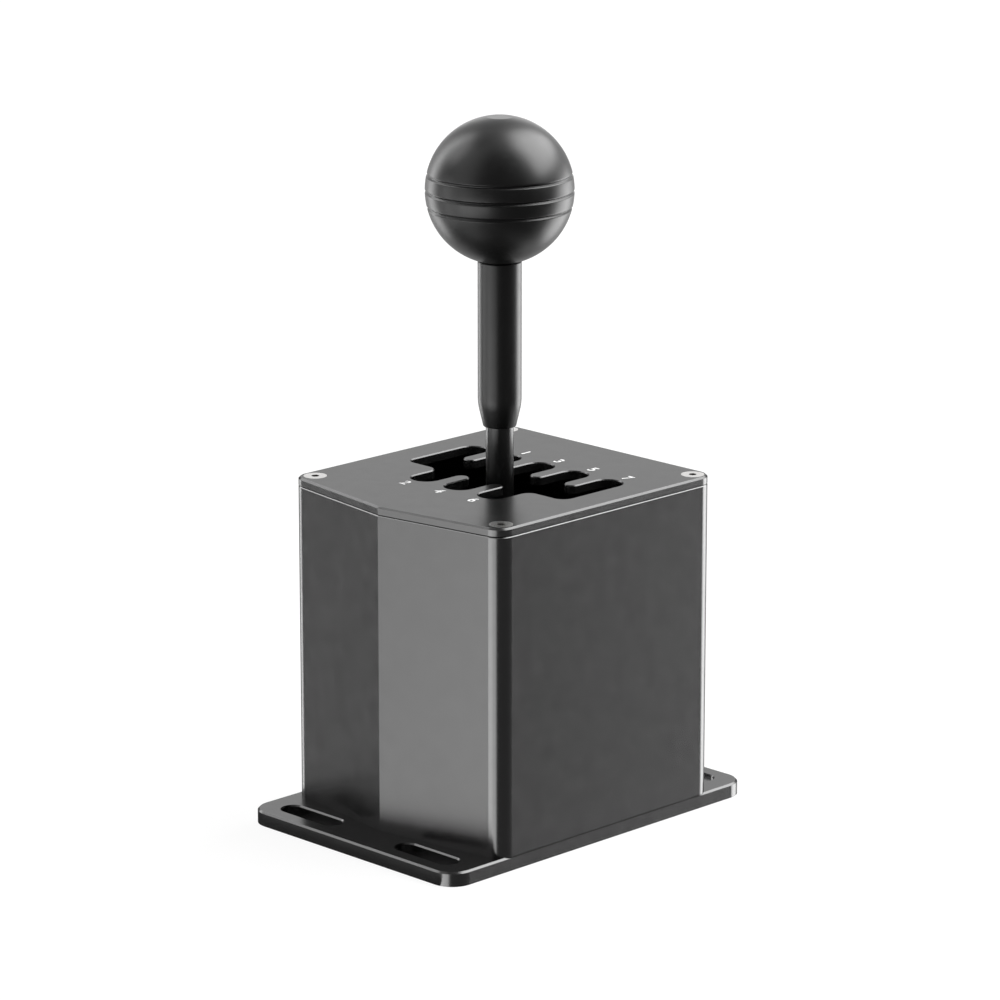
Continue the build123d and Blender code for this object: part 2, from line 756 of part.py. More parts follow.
def knob_insert():
    """Threaded metal insert moulded into the knob, with two holding grooves."""
    insert = insert_shape(0.0) - Pos(0, 0, sleeve_top) * Cylinder(
        rod_thread_radius + thread_gap, rod_thread_length + thread_gap, align=UP
    )
    band = Cylinder(insert_radius, insert_groove_depth, align=UP)
    band -= Cylinder(insert_radius - insert_groove_depth, insert_groove_depth, align=UP)
    for share in (1, 2):
        insert -= Pos(0, 0, sleeve_top + share * insert_length / 3) * band
    return insert


def plunger_barrel():
    """Threaded barrel of the detent: bored from above and lipped at its mouth."""
    bottom = pivot_height - barrel_reach
    top = pivot_height - barrel_root
    barrel = Pos(0, 0, bottom) * Cylinder(barrel_radius, top - bottom, align=UP)
    mouth = Cylinder(nose_radius + slide_gap, top - bottom - barrel_end_wall, align=UP)
    bore_bottom = bottom + barrel_lip
    bore = Cylinder(barrel_bore_radius, barrel_bore_top - bore_bottom, align=UP)
    return barrel - Pos(0, 0, bottom) * mouth - Pos(0, 0, bore_bottom) * bore


def barrel_lock_nut():
    """Nut that locks the detent barrel under the pivot block."""
    nut = hexagon_nut(barrel_nut_flats, barrel_nut_height, barrel_radius + thread_gap)
    return Pos(0, 0, pivot_height - block_bottom - barrel_nut_height) * nut


def detent_plunger():
    """Round-nosed pin, drawn lifted to the height of the cam's ridges."""
    nose = Pos(0, 0, nose_centre) * Sphere(nose_radius)
    shank = Pos(0, 0, nose_centre) * Cylinder(nose_radius, collar_bottom - nose_centre, align=UP)
    collar = Cylinder(barrel_bore_radius - slide_gap, plunger_collar_height, align=UP)
    pin_height = plunger_collar_height + plunger_pin_length
    pin = Cylinder(plunger_pin_radius, pin_height, align=UP)
    return nose + shank + Pos(0, 0, collar_bottom) * (collar + pin)


def detent_spring():
    """Spring that drives the plunger into the notches."""
    outer = barrel_bore_radius - slide_gap
    bottom = collar_bottom + plunger_collar_height
    return coil_spring(outer, detent_wire, detent_turns, bottom, barrel_bore_top)


def sensor_board():
    """Small board on z = 0 with its chip on the underside, over the magnet."""
    board = extrude(
        RectangleRounded(sensor_board_length, sensor_board_width, board_corner_radius), board_thickness
    )
    chip = Box(sensor_chip_size, sensor_chip_size, sensor_chip_thickness, align=DOWN)
    for x in (-sensor_hole_offset, sensor_hole_offset):
        board -= Pos(x, 0, 0) * Cylinder(m25_radius + thread_gap, board_thickness, align=UP)
    return board + chip


def sensor_spacers():
    """Two turned spacers on z = 0 that hold a sensor board off its carrier."""
    spacer = Cylinder(spacer_radius, sensor_spacer_length, align=UP)
    spacer -= Cylinder(m25_radius + thread_gap, sensor_spacer_length, align=UP)
    return group(Pos(x, 0, 0) * spacer for x in (-sensor_hole_offset, sensor_hole_offset))


def sensor_screws():
    """Two screws through a sensor board and its spacers."""
    screw = Pos(0, 0, sensor_spacer_length + board_thickness) * button_screw(m25_radius, sensor_screw_length)
    return group(Pos(x, 0, 0) * screw for x in (-sensor_hole_offset, sensor_hole_offset))


def on_select_side(shape):
    """Moves a shape to the far pedestal's outer face, round the select axis."""
    return Pos(0, pedestal_outer_y, 0) * (cradle_axis * shape)


def on_shift_side(shape):
    """Moves a shape to the cradle's right face, round the shift axis."""
    return Pos(cradle_outer_x, 0, 0) * (shift_axis * shape)


def main_board():
    """Upright main board on the left wall, with its processor."""
    far_y = body_far_y - wall - main_board_edge_gap
    length = far_y - main_board_near_y
    middle = (main_board_near_y + far_y) / 2
    height = main_board_bottom + main_board_height / 2
    board = Pos(main_board_x, middle, height) * Box(
        board_thickness, length, main_board_height, align=INWARD
    )
    for y, z in board_hole_places():
        hole = Cylinder(m25_radius + thread_gap, board_thickness, align=UP)
        board -= on_left_wall(y, z) * hole
    chip = Box(chip_thickness, chip_length, chip_length, align=INWARD)
    chip_y = main_board_near_y + length / 3
    return board + Pos(main_board_x + board_thickness, chip_y, height) * chip


def main_board_screws():
    """Four screws that hold the main board to its posts."""
    screw = button_screw(m25_radius, board_screw_length)
    screw = Pos(0, 0, board_thickness) * screw
    return group(on_left_wall(y, z) * screw for y, z in board_hole_places())


def data_socket():
    """Modular socket on the main board: a square shell with a stepped mouth in the far wall."""
    front = body_far_y - socket_recess
    x = main_board_x + board_thickness + data_socket_height / 2
    shell = Box(data_socket_height, data_socket_depth, data_socket_width, align=FRONT)
    mouth = Box(data_mouth_height, data_mouth_depth, data_mouth_width, align=FRONT)
    latch = Box(data_latch_height, data_mouth_depth, data_latch_width, align=FRONT)
    latch = Pos((data_mouth_height + data_latch_height) / 2, 0, 0) * latch
    return Pos(x, front, data_socket_z) * (shell - mouth - latch)


def usb_socket():
    """Oval metal USB socket on the main board, with its tongue."""
    front = body_far_y - socket_recess
    x = main_board_x + board_thickness + usb_socket_height / 2
    outer = SlotOverall(usb_socket_width, usb_socket_height, rotation=90)
    inner = SlotOverall(usb_socket_width - 2 * usb_shell, usb_socket_height - 2 * usb_shell, rotation=90)
    shell = extrude(outer, usb_socket_depth) - extrude(inner, usb_socket_depth - usb_shell)
    tongue = Pos(0, 0, usb_tongue_inset) * Box(
        usb_tongue_thickness, usb_tongue_width, usb_socket_depth - usb_tongue_inset, align=UP
    )
    return Pos(x, front, usb_socket_z) * Rot(90, 0, 0) * (shell + tongue)


parts = {
    "housing": housing(),
    "gate_plate": gate_plate(),
    "cover_screws": cover_screws(),
    "base_plate": base_plate(),
    "base_screws": base_screws(),
    "near_pedestal": pedestal(False),
    "far_pedestal": pedestal(True),
    "pedestal_screws": pedestal_screws(),
    "select_bearings": select_bearings(),
    "centring_springs": centring_springs(),
    "select_sensor_board": on_select_side(Pos(0, 0, sensor_spacer_length) * sensor_board()),
    "select_sensor_spacers": on_select_side(sensor_spacers()),
    "select_sensor_screws": on_select_side(sensor_screws()),
    "main_board": main_board(),
    "main_board_screws": main_board_screws(),
    "data_socket": data_socket(),
    "usb_socket": usb_socket(),
    "cradle": cradle(),
    "near_axle": select_axle(False),
    "far_axle": select_axle(True),
    "select_rings": select_rings(),
    "select_spacers": select_spacers(),
    "select_magnet": select_magnet(),
    "shift_bearings": shift_bearings(),
    "detent_cam": detent_cam(),
    "cam_screws": cam_screws(),
    "shift_sensor_board": on_shift_side(Pos(0, 0, sensor_spacer_length) * sensor_board()),
    "shift_sensor_spacers": on_shift_side(sensor_spacers()),
    "shift_sensor_screws": on_shift_side(sensor_screws()),
    "pivot_block": pivot_block(),
    "shift_axle": shift_axle(),
    "shift_rings": shift_rings(),
    "shift_spacers": shift_spacers(),
    "shift_magnet": shift_magnet(),
    "shift_rod": shift_rod(),
    "rod_lock_nut": rod_lock_nut(),
    "lever_sleeve": lever_sleeve(),
    "knob_insert": knob_insert(),
    "knob": knob(),
    "plunger_barrel": plunger_barrel(),
    "barrel_lock_nut": barrel_lock_nut(),
    "detent_spring": detent_spring(),
    "detent_plunger": detent_plunger(),
}

os.makedirs("parts", exist_ok=True)
for name, shape in parts.items():
    export_step(shape, f"parts/{name}.step")
print("one column is", round(column_angle, 3), "degrees and a gear is", round(shift_angle, 3), "degrees")
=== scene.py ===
import math

import bmesh
import bpy
import numpy as np
from mathutils import Matrix, Vector


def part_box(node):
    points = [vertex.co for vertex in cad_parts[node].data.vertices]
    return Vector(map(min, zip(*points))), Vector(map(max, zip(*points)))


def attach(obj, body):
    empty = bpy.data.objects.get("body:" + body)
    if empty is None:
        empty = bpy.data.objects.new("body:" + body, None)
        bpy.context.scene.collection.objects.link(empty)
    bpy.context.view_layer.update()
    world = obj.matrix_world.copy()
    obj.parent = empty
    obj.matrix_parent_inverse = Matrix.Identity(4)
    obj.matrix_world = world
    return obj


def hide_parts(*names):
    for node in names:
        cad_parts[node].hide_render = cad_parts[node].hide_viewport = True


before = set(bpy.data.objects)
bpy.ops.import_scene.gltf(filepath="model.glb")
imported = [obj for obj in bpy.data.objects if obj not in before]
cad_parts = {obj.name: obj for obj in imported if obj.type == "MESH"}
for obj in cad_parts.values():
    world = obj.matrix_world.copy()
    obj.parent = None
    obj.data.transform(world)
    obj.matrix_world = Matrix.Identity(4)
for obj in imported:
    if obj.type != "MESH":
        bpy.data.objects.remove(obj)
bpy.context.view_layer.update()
mm = 0.001

# Camera
# A long lens in front of the shifter and to its right, a little above the gate plate.

camera_azimuth = math.radians(45.05)
camera_elevation = math.radians(14.878)
camera_place = Vector((1.094949, -1.092888, 0.520873))
camera_right = Vector((math.cos(camera_azimuth), math.sin(camera_azimuth), 0))
camera_back = Vector((
    math.sin(camera_azimuth) * math.cos(camera_elevation),
    -math.cos(camera_azimuth) * math.cos(camera_elevation),
    math.sin(camera_elevation),
))
camera_axes = Matrix((camera_right, camera_back.cross(camera_right), camera_back)).transposed()
camera_data = bpy.data.cameras.new("camera")
camera_data.sensor_width = 36
camera_data.lens = 169.306
camera_data.clip_start = 0.05
camera_data.clip_end = 50
camera = bpy.data.objects.new("camera", camera_data)
camera.matrix_world = Matrix.Translation(camera_place) @ camera_axes.to_4x4()
bpy.context.collection.objects.link(camera)
bpy.context.scene.camera = camera

# Base plate and pedestals
# The base plate closes the housing from below and carries two bearing pedestals. All three are
# milled from aluminium bar, blasted fine and anodised black, and held by countersunk screws.


def new_finish(name, colour, metal, roughness):
    """Material with plain values on its shader; the pattern nodes are linked to it afterwards."""
    finish = bpy.data.materials.new(name)
    finish.use_nodes = True
    shader = finish.node_tree.nodes["Principled BSDF"]
    shader.inputs["Base Color"].default_value = (*colour, 1)
    shader.inputs["Metallic"].default_value = metal
    shader.inputs["Roughness"].default_value = roughness
    return finish


def add_node(finish, kind, **settings):
    """Node in a material's tree, with its own settings by attribute name."""
    node = finish.node_tree.nodes.new(kind)
    for key, value in settings.items():
        setattr(node, key, value)
    return node


def object_pattern(finish, size, detail=2.0, stretch=(1, 1, 1)):
    """Noise of one real size over the piece, longer along an axis where its stretch is small."""
    links = finish.node_tree.links
    place = add_node(finish, "ShaderNodeTexCoord")
    scaled = add_node(finish, "ShaderNodeMapping")
    scaled.inputs["Scale"].default_value = [1 / size * share for share in stretch]
    noise = add_node(finish, "ShaderNodeTexNoise")
    noise.inputs["Scale"].default_value = 1
    noise.inputs["Detail"].default_value = detail
    links.new(place.outputs["Object"], scaled.inputs["Vector"])
    links.new(scaled.outputs["Vector"], noise.inputs["Vector"])
    return noise.outputs["Fac"]


def spread(finish, value, low, high):
    """Turns a pattern's middle range into a span of roughness or brightness."""
    span = add_node(finish, "ShaderNodeMapRange")
    span.inputs["From Min"].default_value = 0.3
    span.inputs["From Max"].default_value = 0.7
    span.inputs["To Min"].default_value = low
    span.inputs["To Max"].default_value = high
    finish.node_tree.links.new(value, span.inputs["Value"])
    return span.outputs["Result"]


def vary_colour(finish, value, dark, light):
    """Runs the base colour between two tones by a pattern."""
    tones = add_node(finish, "ShaderNodeMix", data_type="RGBA")
    tones.inputs["A"].default_value = (*dark, 1)
    tones.inputs["B"].default_value = (*light, 1)
    links = finish.node_tree.links
    links.new(value, tones.inputs["Factor"])
    links.new(tones.outputs["Result"], finish.node_tree.nodes["Principled BSDF"].inputs["Base Color"])


def vary_roughness(finish, value, low, high):
    """Runs the roughness between two values by a pattern."""
    shader = finish.node_tree.nodes["Principled BSDF"]
    finish.node_tree.links.new(spread(finish, value, low, high), shader.inputs["Roughness"])


def raise_grain(finish, value, height, strength):
    """Raises a pattern by a real height as bump."""
    bump = add_node(finish, "ShaderNodeBump")
    bump.inputs["Distance"].default_value = height
    bump.inputs["Strength"].default_value = strength
    links = finish.node_tree.links
    links.new(value, bump.inputs["Height"])
    links.new(bump.outputs["Normal"], finish.node_tree.nodes["Principled BSDF"].inputs["Normal"])


def grey(level):
    """The same value in red, green and blue."""
    return (level, level, level)


def blasted_anodising(name, level, roughness, grazing=0.45):
    """Anodised aluminium: a fine blasted grain, and dye that took a little unevenly.

    Its grazing share is how much of bare metal's shine is left where it is seen at a slant.
    """
    finish = new_finish(name, grey(level), 1.0, roughness)
    finish.node_tree.nodes["Principled BSDF"].inputs["Specular Tint"].default_value = (*grey(grazing), 1)
    dye_patch = object_pattern(finish, 24 * mm, detail=3)
    vary_colour(finish, dye_patch, grey(level * 0.975), grey(level * 1.025))
    vary_roughness(finish, object_pattern(finish, 5 * mm), roughness * 0.95, roughness * 1.05)
    raise_grain(finish, object_pattern(finish, 0.18 * mm), 0.004 * mm, 0.3)
    return finish


def dress(finish, *names):
    """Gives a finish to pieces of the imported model."""
    for name in names:
        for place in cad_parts[name].material_slots:
            place.material = finish


milled_black = blasted_anodising("milled_black", 0.19, 0.33)
dress(milled_black, "base_plate", "near_pedestal", "far_pedestal", "cradle", "pivot_block")


def oxide_black(name, level, roughness):
    """Steel blackened in a hot bath: dark, a little brown, with a mottled sheen."""
    finish = new_finish(name, grey(level), 1.0, roughness)
    mottle = object_pattern(finish, 1.5 * mm, detail=4)
    vary_colour(finish, mottle, (level * 1.1, level, level * 0.9), grey(level * 1.2))
    vary_roughness(finish, mottle, roughness * 0.8, roughness * 1.2)
    return finish


screw_black = oxide_black("screw_black", 0.06, 0.35)
dress(screw_black, "base_screws", "pedestal_screws", "main_board_screws", "select_sensor_screws",
      "shift_sensor_screws", "cam_screws", "rod_lock_nut", "barrel_lock_nut")

# Gimbal: axles, bearings, washers and snap rings
# Two stub axles carry the cradle and one carries the pivot block, all in shielded ball bearings.
# The axles are ground steel, and the rings are stamped from spring steel.


def turned_steel(name, level, roughness, line_size, stretch):
    """Ground or turned steel: fine lines across the stretch, and faint tarnish."""
    finish = new_finish(name, grey(level), 1.0, roughness)
    lines = object_pattern(finish, line_size, detail=4, stretch=stretch)
    tarnish = object_pattern(finish, 6 * mm)
    vary_colour(finish, tarnish, grey(level * 0.92), (level * 1.03, level, level * 0.96))
    vary_roughness(finish, lines, roughness * 0.7, roughness * 1.3)
    raise_grain(finish, lines, 0.003 * mm, 0.25)
    return finish


along_depth = (1, 0.04, 1)
along_width = (0.04, 1, 1)
dress(turned_steel("ground_axle", 0.55, 0.18, 0.3 * mm, along_depth),
      "near_axle", "far_axle", "select_spacers")
dress(turned_steel("ground_cross_axle", 0.55, 0.18, 0.3 * mm, along_width),
      "shift_axle", "shift_spacers")
dress(turned_steel("bearing_steel", 0.6, 0.12, 0.2 * mm, (1, 1, 1)), "select_bearings", "shift_bearings")
dress(turned_steel("spring_wire", 0.35, 0.3, 0.25 * mm, (1, 1, 0.3)),
      "centring_springs", "detent_spring", "select_rings", "shift_rings")

# Detent: cam, barrel and plunger
# A sprung round-nosed pin under the lever's hub drops into three notches of a hardened steel cam,
# which is screwed between the legs of the cradle.

dress(turned_steel("hardened_steel", 0.42, 0.22, 0.35 * mm, along_width),
      "detent_cam", "plunger_barrel", "detent_plunger")

# Sensor boards with their magnets
# Each axle ends in a nickel-plated magnet, read by a chip on a small board on turned spacers.

dress(turned_steel("nickel_plate", 0.7, 0.1, 1.2 * mm, (1, 1, 1)), "select_magnet", "shift_magnet")
dress(turned_steel("bright_spacer", 0.6, 0.22, 0.2 * mm, (1, 1, 1)),
      "select_sensor_spacers", "shift_sensor_spacers")


def solder_mask(name):
    """Green board: copper tracks show through the mask as lighter lines on a square grid."""
    finish = new_finish(name, (0.01, 0.08, 0.03), 0.0, 0.35)
    links = finish.node_tree.links
    place = add_node(finish, "ShaderNodeTexCoord")
    tracks = add_node(finish, "ShaderNodeTexBrick")
    tracks.inputs["Scale"].default_value = 1 / (3 * mm)
    tracks.inputs["Mortar Size"].default_value = 0.06
    tracks.inputs["Color1"].default_value = (0.008, 0.06, 0.022, 1)
    tracks.inputs["Color2"].default_value = (0.01, 0.075, 0.028, 1)
    tracks.inputs["Mortar"].default_value = (0.03, 0.16, 0.06, 1)
    turn = add_node(finish, "ShaderNodeMapping")
    turn.inputs["Rotation"].default_value = (math.radians(90), 0, math.radians(90))
    links.new(place.outputs["Object"], turn.inputs["Vector"])
    links.new(turn.outputs["Vector"], tracks.inputs["Vector"])
    links.new(tracks.outputs["Color"], finish.node_tree.nodes["Principled BSDF"].inputs["Base Color"])
    raise_grain(finish, tracks.outputs["Fac"], 0.03 * mm, 0.4)
    return finish


dress(solder_mask("solder_mask"), "main_board", "select_sensor_board", "shift_sensor_board")

# Sockets on the main board
# A modular data socket moulded in black nylon, and an oval USB socket folded from plated steel.
# Both show in the far wall of the housing.


def moulded_plastic(name, level, roughness):
    """Moulded nylon: dark and dull, with a fine spark-eroded grain."""
    finish = new_finish(name, grey(level), 0.0, roughness)
    vary_colour(finish, object_pattern(finish, 4 * mm), grey(level * 0.85), grey(level * 1.15))
    vary_roughness(finish, object_pattern(finish, 0.8 * mm), roughness * 0.9, roughness * 1.1)
    raise_grain(finish, object_pattern(finish, 0.15 * mm), 0.01 * mm, 0.3)
    return finish


dress(moulded_plastic("black_nylon", 0.02, 0.45), "data_socket")
dress(turned_steel("plated_shell", 0.62, 0.2, 0.5 * mm, along_depth), "usb_socket")


def add_mesh(name, grid):
    """Mesh of quads over a grid of points, whose last column joins its first."""
    rows, columns = grid.shape[:2]
    number = np.arange(rows * columns).reshape(rows, columns)
    number = np.concatenate([number, number[:, :1]], axis=1)
    faces = np.stack([number[:-1, :-1], number[:-1, 1:], number[1:, 1:], number[1:, :-1]], axis=-1)
    mesh = bpy.data.meshes.new(name)
    mesh.from_pydata(grid.reshape(-1, 3).tolist(), [], faces.reshape(-1, 4).tolist())
    return close_mesh(mesh)


def close_mesh(mesh):
    """Merges the points that meet at poles and seams, and turns every face outwards."""
    work = bmesh.new()
    work.from_mesh(mesh)
    bmesh.ops.remove_doubles(work, verts=work.verts, dist=0.0001 * mm)
    bmesh.ops.dissolve_degenerate(work, edges=work.edges, dist=0.0001 * mm)
    bmesh.ops.recalc_face_normals(work, faces=work.faces)
    work.to_mesh(mesh)
    work.free()
    return mesh


def add_piece(name, mesh, body, finish, crease=30):
    """Shows a mesh as a piece: smooth up to a crease angle, in its finish, moving with its body."""
    mesh.polygons.foreach_set("use_smooth", np.ones(len(mesh.polygons), bool))
    mesh.set_sharp_from_angle(angle=math.radians(crease))
    mesh.materials.append(finish)
    piece = bpy.data.objects.new(name, mesh)
    bpy.context.collection.objects.link(piece)
    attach(piece, body)
    return piece


def wire_grid(path, radius, sides=8):
    """Round wire: at each point of a path in an upright plane, a circle square to the path.

    The circle's two axes are the path's own normal in that plane and the plane's normal, Z.
    """
    step = np.gradient(path, axis=0)
    step /= np.linalg.norm(step, axis=1, keepdims=True)
    across = np.stack([-step[:, 1], step[:, 0], np.zeros(len(path))], axis=1)
    angle = np.linspace(0, 2 * math.pi, sides, endpoint=False)
    ends = np.concatenate([path[:1], path, path[-1:]])
    across = np.concatenate([across[:1], across, across[-1:]])
    width = np.concatenate([[0], np.full(len(path), radius), [0]])
    ring = across[:, None] * np.cos(angle)[None, :, None]
    ring[..., 2] = np.sin(angle)
    return ends[:, None] + ring * width[:, None, None]


contact_count = 6
contact_pitch = 1.02 * mm
contact_radius = 0.2 * mm
contact_root = 2.65 * mm
contact_lean = 2.2 * mm
contact_recess = 1.2 * mm
contact_run = 8.4 * mm


def contact_wires():
    """Six spring wires that leave the wall at the socket's mouth and lean into it.

    A share t along its run, a wire stands off the wall by its lean times sin^2(t pi / 2).
    """
    low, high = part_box("data_socket")
    share = np.linspace(0, 1, 24)
    off_wall = low.x + contact_root + contact_lean * np.sin(share * math.pi / 2) ** 2
    depth = high.y - contact_recess - share * contact_run
    middle = (low.z + high.z) / 2
    wires = []
    for count in range(contact_count):
        height = np.full(len(share), middle + (count - (contact_count - 1) / 2) * contact_pitch)
        wires.append(wire_grid(np.stack([off_wall, depth, height], axis=1), contact_radius))
    return wires


def join_grids(name, grids):
    """One mesh of several closed grids of the same layout."""
    work = bmesh.new()
    for grid in grids:
        part = add_mesh(name, grid)
        work.from_mesh(part)
        bpy.data.meshes.remove(part)
    mesh = bpy.data.meshes.new(name)
    work.to_mesh(mesh)
    work.free()
    return mesh


gold_plate = new_finish("gold_plate", (0.83, 0.56, 0.19), 1.0, 0.2)
vary_colour(gold_plate, object_pattern(gold_plate, 3 * mm), (0.8, 0.52, 0.16), (0.86, 0.6, 0.22))
vary_roughness(gold_plate, object_pattern(gold_plate, 0.4 * mm, stretch=along_depth), 0.15, 0.26)
contacts_mesh = join_grids("data_contacts", contact_wires())
add_piece("data_contacts", contacts_mesh, "housing", gold_plate)

# Housing with its mounting flange
# One piece of aluminium, machined all over, blasted and anodised black. Its near face folds on a
# shallow upright ridge, and its flange has a slot near each corner for clamping it to a rig.

housing_black = blasted_anodising("housing_black", 0.188, 0.24)
dress(housing_black, "housing")


def paint_chamfer_shade(finish, top, depth, level):
    """Painted shade on the chamfers below a top face, from just under the face to their foot, which dims
    their highlights.
    """
    links = finish.node_tree.links
    lip = 0.02 * mm
    place = add_node(finish, "ShaderNodeTexCoord")
    split = add_node(finish, "ShaderNodeSeparateXYZ")
    links.new(place.outputs["Object"], split.inputs["Vector"])
    below_top = add_node(finish, "ShaderNodeMath", operation="LESS_THAN")
    below_top.inputs[1].default_value = top - lip
    above_foot = add_node(finish, "ShaderNodeMath", operation="GREATER_THAN")
    above_foot.inputs[1].default_value = top - depth
    both = add_node(finish, "ShaderNodeMath", operation="MULTIPLY")
    for number, half in enumerate((below_top, above_foot)):
        links.new(split.outputs["Z"], half.inputs[0])
        links.new(half.outputs[0], both.inputs[number])
    shader = finish.node_tree.nodes["Principled BSDF"]
    chamfer_shade_paint = add_node(finish, "ShaderNodeMix", data_type="RGBA")
    links.new(both.outputs[0], chamfer_shade_paint.inputs["Factor"])
    links.new(shader.inputs["Base Color"].links[0].from_socket, chamfer_shade_paint.inputs["A"])
    chamfer_shade_paint.inputs["B"].default_value = (*grey(level), 1)
    links.new(chamfer_shade_paint.outputs["Result"], shader.inputs["Base Color"])


flange_top = 5 * mm
flange_chamfer_foot = 0.6 * mm
# The flange's chamfers get painted shade: a darker colour that dims their bright highlights.
paint_chamfer_shade(housing_black, flange_top, flange_chamfer_foot, 0.1)

# Gate plate with its gear numbers
# The plate is milled from aluminium, chamfered round the gate and along its outer edge, anodised
# like the housing, and printed with the number of each gear beside its slot.

plate_black = blasted_anodising("plate_black", 0.19, 0.26)
dress(plate_black, "gate_plate")

plate_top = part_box("gate_plate")[1].z
plate_chamfer_foot = 0.6 * mm
# The plate's chamfers get painted shade as well, to dim their highlights.
paint_chamfer_shade(plate_black, plate_top, plate_chamfer_foot, 0.085)
number_pitch = 16.2 * mm
number_height = 4.2 * mm
number_height_share = 0.7
number_weight = 0.1 * mm
number_raise = 0.03 * mm
far_numbers_y = 28.8 * mm
near_numbers_y = -28.9 * mm
gear_numbers = {
    "R": (-2 * number_pitch, far_numbers_y),
    "1": (-number_pitch, far_numbers_y),
    "3": (0, far_numbers_y),
    "5": (number_pitch, far_numbers_y),
    "7": (2 * number_pitch, far_numbers_y),
    "2": (-number_pitch, near_numbers_y),
    "4": (0, near_numbers_y),
    "6": (number_pitch, near_numbers_y),
}


def printed_number(sign, x, y):
    """Mesh of one number, centred on its place and a film of ink thick."""
    words = bpy.data.curves.new("number", "FONT")
    words.body = sign
    words.align_x = "CENTER"
    words.align_y = "CENTER"
    words.extrude = number_raise / 2
    words.size = number_height / number_height_share
    words.offset = number_weight
    shape = bpy.data.objects.new("number", words)
    bpy.context.collection.objects.link(shape)
    bpy.context.view_layer.update()
    mesh = bpy.data.meshes.new_from_object(shape.evaluated_get(bpy.context.evaluated_depsgraph_get()))
    bpy.data.objects.remove(shape)
    mesh.transform(Matrix.Translation((x, y, plate_top + number_raise / 2)))
    return mesh


def all_numbers():
    """One mesh of every number on the plate."""
    work = bmesh.new()
    for sign, place in gear_numbers.items():
        work.from_mesh(printed_number(sign, *place))
    mesh = bpy.data.meshes.new("gear_numbers")
    work.to_mesh(mesh)
    work.free()
    return close_mesh(mesh)


number_ink = new_finish("number_ink", grey(0.78), 0.0, 0.5)
vary_colour(number_ink, object_pattern(number_ink, 0.5 * mm), grey(0.73), grey(0.83))
raise_grain(number_ink, object_pattern(number_ink, 0.1 * mm), 0.01 * mm, 0.3)
add_piece("gear_numbers", all_numbers(), "housing", number_ink)

# Screws of the gate plate
# Four countersunk steel screws with a hexagon socket, cold forged and coated in black zinc, which
# is a little lighter than the plate.

dress(turned_steel("zinc_screw", 0.38, 0.3, 0.15 * mm, (1, 1, 0.3)), "cover_screws")

# Lever rod
# A steel rod from the pivot block up into the knob, turned and blackened.

rod_black = new_finish("rod_black", grey(0.095), 1.0, 0.3)
vary_colour(rod_black, object_pattern(rod_black, 8 * mm), grey(0.09), grey(0.1))
rod_lines = object_pattern(rod_black, 0.3 * mm, stretch=(0.3, 0.3, 3))
vary_roughness(rod_black, rod_lines, 0.28, 0.32)
raise_grain(rod_black, rod_lines, 0.002 * mm, 0.2)
dress(rod_black, "shift_rod")

# Lever sleeve
# A turned aluminium tube over the rod, tapered at its foot, with its edges broken by hand and
# anodised satin black. The knob screws down onto its upper end.


def turned_mesh(name, radii, heights, sides=192):
    """Turned surface: the point at height z and angle a is (r(z) cos a, r(z) sin a, z)."""
    angle = np.linspace(0, 2 * math.pi, sides, endpoint=False)
    grid = np.stack([
        np.outer(radii, np.cos(angle)),
        np.outer(radii, np.sin(angle)),
        np.outer(heights, np.ones(sides)),
    ], axis=-1)
    return add_mesh(name, grid)


def rounded_profile(corners, roundings, steps=8):
    """Profile through corners of (radius, height), each cut by a quadratic curve between its arms.

    With corner C and arm points A and B a rounding away from it, the curve is
    (1 - t)^2 A + 2 t (1 - t) C + t^2 B for t from 0 to 1.
    """
    corners = np.array(corners, float)
    points = [corners[:1]]
    share = np.linspace(0, 1, steps)[:, None]
    for before, corner, after, rounding in zip(corners, corners[1:], corners[2:], roundings):
        start = corner + (before - corner) / np.linalg.norm(before - corner) * rounding
        end = corner + (after - corner) / np.linalg.norm(after - corner) * rounding
        points.append((1 - share) ** 2 * start + 2 * share * (1 - share) * corner + share ** 2 * end)
    points.append(corners[-1:])
    profile = np.concatenate(points)
    return profile[:, 0], profile[:, 1]


sleeve_low, sleeve_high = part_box("lever_sleeve")
sleeve_radius = sleeve_high.x
sleeve_bore = 4.8 * mm
sleeve_foot_radius = 5.6 * mm
sleeve_taper_height = 8 * mm
sleeve_corners = [
    (sleeve_bore, (sleeve_low.z + sleeve_high.z) / 2),
    (sleeve_bore, sleeve_low.z),
    (sleeve_foot_radius, sleeve_low.z),
    (sleeve_radius, sleeve_low.z + sleeve_taper_height),
    (sleeve_radius, sleeve_high.z),
    (sleeve_bore, sleeve_high.z),
    (sleeve_bore, (sleeve_low.z + sleeve_high.z) / 2),
]
sleeve_roundings = [0.1 * mm, 0.45 * mm, 2.2 * mm, 0.4 * mm, 0.1 * mm]
sleeve_black = blasted_anodising("sleeve_black", 0.073, 0.36, grazing=1)
sleeve_mesh = turned_mesh("sleeve_turned", *rounded_profile(sleeve_corners, sleeve_roundings))
sleeve = add_piece("sleeve_turned", sleeve_mesh, "lever", sleeve_black)
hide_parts("lever_sleeve")

# Knob
# A ball turned from aluminium round a threaded steel insert, with three fine grooves near its
# middle, coated matt black so that it is soft to the touch.

knob_low, knob_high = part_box("knob")
knob_radius = knob_high.x
knob_centre = knob_high.z - knob_radius
knob_neck_radius = 7.2 * mm
knob_seat_radius = 6.9 * mm
knob_seat_bevel = 0.25 * mm
knob_rows = 500
groove_width = 1.5 * mm
groove_depth = 0.55 * mm
groove_pitch = 5.55 * mm
groove_middle = -0.25 * mm
top_flat_drop = 0.4 * mm


